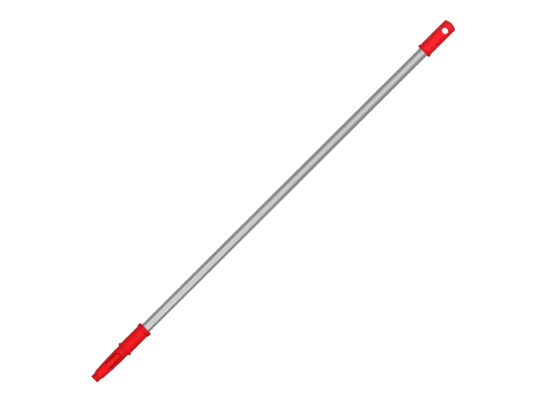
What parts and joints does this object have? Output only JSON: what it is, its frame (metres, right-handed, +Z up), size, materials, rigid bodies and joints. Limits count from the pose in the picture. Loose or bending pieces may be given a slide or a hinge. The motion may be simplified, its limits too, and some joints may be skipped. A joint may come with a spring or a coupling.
{
  "type": "telescopic roller pole",
  "caption": "Telescopic roller pole, collapsed: aluminium tube, red cone tip with a click tongue, red mouth collar and a red hanging cap with a hole.",
  "frame": {"origin": "on the ground below the middle of the collapsed pole, which lies on its collar's flange and its cap's rim", "axes": "+X along the pole from the tool end towards the hanging cap, +Z up, out of the click tongue and the hanging hole"},
  "size_m": [1.117, 0.037, 0.0371],
  "materials": {
    "red_moulding": "moulded, satin gloss",
    "outer_tube": "drawn and anodised, faint lengthways grain",
    "inner_tube": "drawn, bright",
    "plated_steel": "zinc plated",
    "nylon": "natural nylon",
    "grey_plastic": "grey acetal",
    "rubber": "matt black"
  },
  "bodies": {
    "outer": {"outer_tube": "outer_tube", "collar": "red_moulding", "collar_rivet": "red_moulding", "guide_bush": "nylon", "end_cap": "red_moulding", "cap_rivet": "red_moulding"},
    "lock": {"expander": "nylon", "grip_ring": "rubber"},
    "wedge": {"wedge_nut": "grey_plastic"},
    "inner": {"inner_tube": "inner_tube", "cone_tip": "red_moulding", "cone_pin": "plated_steel", "tail_plug": "grey_plastic", "plug_rivet": "plated_steel", "lock_spindle": "plated_steel", "thrust_washer": "plated_steel", "end_washer": "plated_steel", "end_clip": "plated_steel"},
    "tongue": {"click_tongue": "red_moulding"}
  },
  "joints": [
    {"name": "extend", "type": "slide", "parent": "outer", "child": "lock", "axis": [-1, 0, 0], "range_m": [0, 0.85]},
    {"name": "twist", "type": "hinge", "parent": "lock", "child": "inner", "pos_m": [0, 0, 0.01854], "axis": [1, 0, 0], "range_deg": [0, 360]},
    {"name": "wedge_travel", "type": "slide", "parent": "lock", "child": "wedge", "axis": [-1, 0, 0], "range_m": [0, 0.003]},
    {"name": "tongue_flex", "type": "hinge", "parent": "inner", "child": "tongue", "pos_m": [-0.516, 0, 0.03128], "axis": [0, 1, 0], "range_deg": [0, 2.5], "stiffness_Nm_per_rad": 3}
  ],
  "couplings": [
    {"joint": "wedge_travel", "follows": "twist", "m_per_rad": 0.000477}
  ]
}
